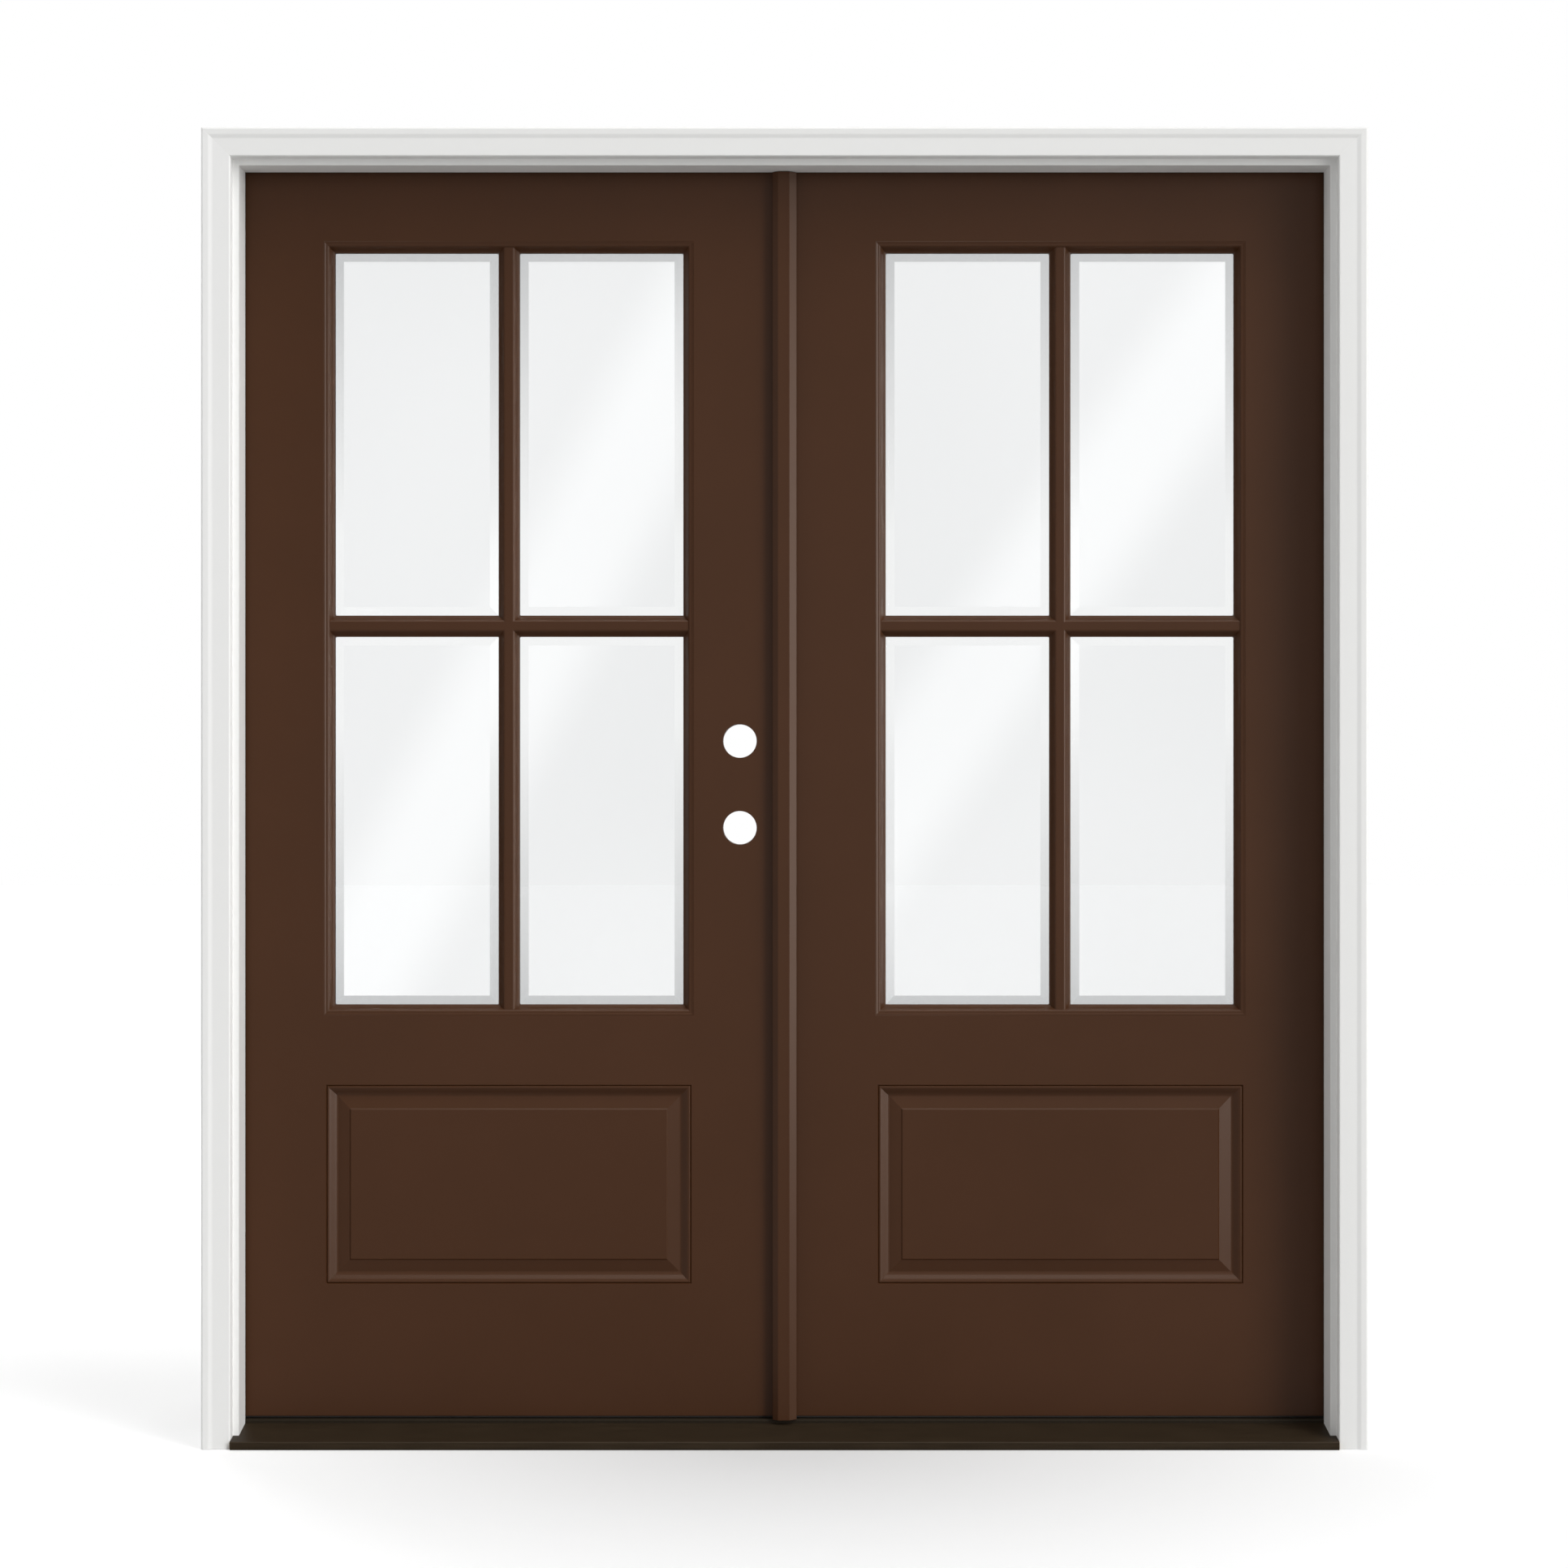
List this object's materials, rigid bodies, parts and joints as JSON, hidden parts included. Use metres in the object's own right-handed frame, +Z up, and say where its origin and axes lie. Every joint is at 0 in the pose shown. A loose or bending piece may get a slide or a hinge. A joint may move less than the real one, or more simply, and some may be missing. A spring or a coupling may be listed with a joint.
{
  "type": "fibreglass double entry door",
  "caption": "Prehung inward-opening double door: glazed brown fibreglass leaves over raised panels, astragal, white brickmould frame and bronze sill.",
  "frame": {"origin": "underside of the sill, in the middle, in the plane of the jambs' outdoor edge", "axes": "+X to the right seen from outdoors, +Y from outdoors to indoors, +Z up"},
  "size_m": [1.843, 0.1623, 2.0879],
  "materials": {
    "brown_fibreglass": "satin painted skin",
    "brown_astragal": "satin paint",
    "white_frame": "painted white",
    "bronze_cover": "dark bronze anodised",
    "bronze_cap": "dark bronze",
    "substrate": "composite board",
    "seal": "soft foam and vinyl",
    "stile_timber": "laminated timber",
    "foam": "rigid foam",
    "spacer": "matt",
    "clear_glass": "clear, bevelled",
    "screw_steel": "satin",
    "hinge_steel": "satin"
  },
  "bodies": {
    "frame": {"left_jamb": "white_frame", "right_jamb": "white_frame", "head_jamb": "white_frame", "left_brickmould": "white_frame", "right_brickmould": "white_frame", "head_brickmould": "white_frame", "sill_substrate": "substrate", "sill_cover": "bronze_cover", "threshold_cap": "bronze_cap", "cap_screws": "screw_steel", "left_weatherstrip": "seal", "right_weatherstrip": "seal", "head_weatherstrip": "seal", "left_jamb_hinge_plates": "hinge_steel", "right_jamb_hinge_plates": "hinge_steel", "left_hinge_pins": "hinge_steel", "right_hinge_pins": "hinge_steel", "left_jamb_screws": "screw_steel", "right_jamb_screws": "screw_steel"},
    "active_leaf": {"active_outer_skin": "brown_fibreglass", "active_inner_skin": "brown_fibreglass", "active_hinge_stile": "stile_timber", "active_lock_stile": "stile_timber", "active_top_rail": "stile_timber", "active_bottom_rail": "stile_timber", "active_foam_core": "foam", "active_outer_lite_frame": "brown_fibreglass", "active_inner_lite_frame": "brown_fibreglass", "active_outer_glass": "clear_glass", "active_inner_glass": "clear_glass", "active_glass_spacer": "spacer", "active_outer_bars": "brown_fibreglass", "active_inner_bars": "brown_fibreglass", "active_sweep": "seal", "active_hinge_plates": "hinge_steel", "active_hinge_screws": "screw_steel"},
    "passive_leaf": {"passive_outer_skin": "brown_fibreglass", "passive_inner_skin": "brown_fibreglass", "passive_hinge_stile": "stile_timber", "passive_meeting_stile": "stile_timber", "passive_top_rail": "stile_timber", "passive_bottom_rail": "stile_timber", "passive_foam_core": "foam", "passive_outer_lite_frame": "brown_fibreglass", "passive_inner_lite_frame": "brown_fibreglass", "passive_outer_glass": "clear_glass", "passive_inner_glass": "clear_glass", "passive_glass_spacer": "spacer", "passive_outer_bars": "brown_fibreglass", "passive_inner_bars": "brown_fibreglass", "passive_sweep": "seal", "passive_hinge_plates": "hinge_steel", "passive_hinge_screws": "screw_steel", "astragal": "brown_astragal", "astragal_seal": "seal"},
    "top_bolt": {"top_flush_bolt": "hinge_steel"},
    "bottom_bolt": {"bottom_flush_bolt": "hinge_steel"}
  },
  "joints": [
    {"name": "active_hinge", "type": "hinge", "parent": "frame", "child": "active_leaf", "pos_m": [-0.8767, 0.1228, 0], "axis": [0, 0, 1], "range_deg": [0, 120]},
    {"name": "passive_hinge", "type": "hinge", "parent": "frame", "child": "passive_leaf", "pos_m": [0.8767, 0.1228, 0], "axis": [0, 0, -1], "range_deg": [0, 108]},
    {"name": "top_bolt_slide", "type": "slide", "parent": "passive_leaf", "child": "top_bolt", "axis": [0, 0, 1], "range_m": [0, 0.015]},
    {"name": "bottom_bolt_slide", "type": "slide", "parent": "passive_leaf", "child": "bottom_bolt", "axis": [0, 0, -1], "range_m": [0, 0.015]}
  ],
  "couplings": [
    {"joint": "passive_hinge", "follows": "active_hinge", "ratio": 0.9}
  ]
}
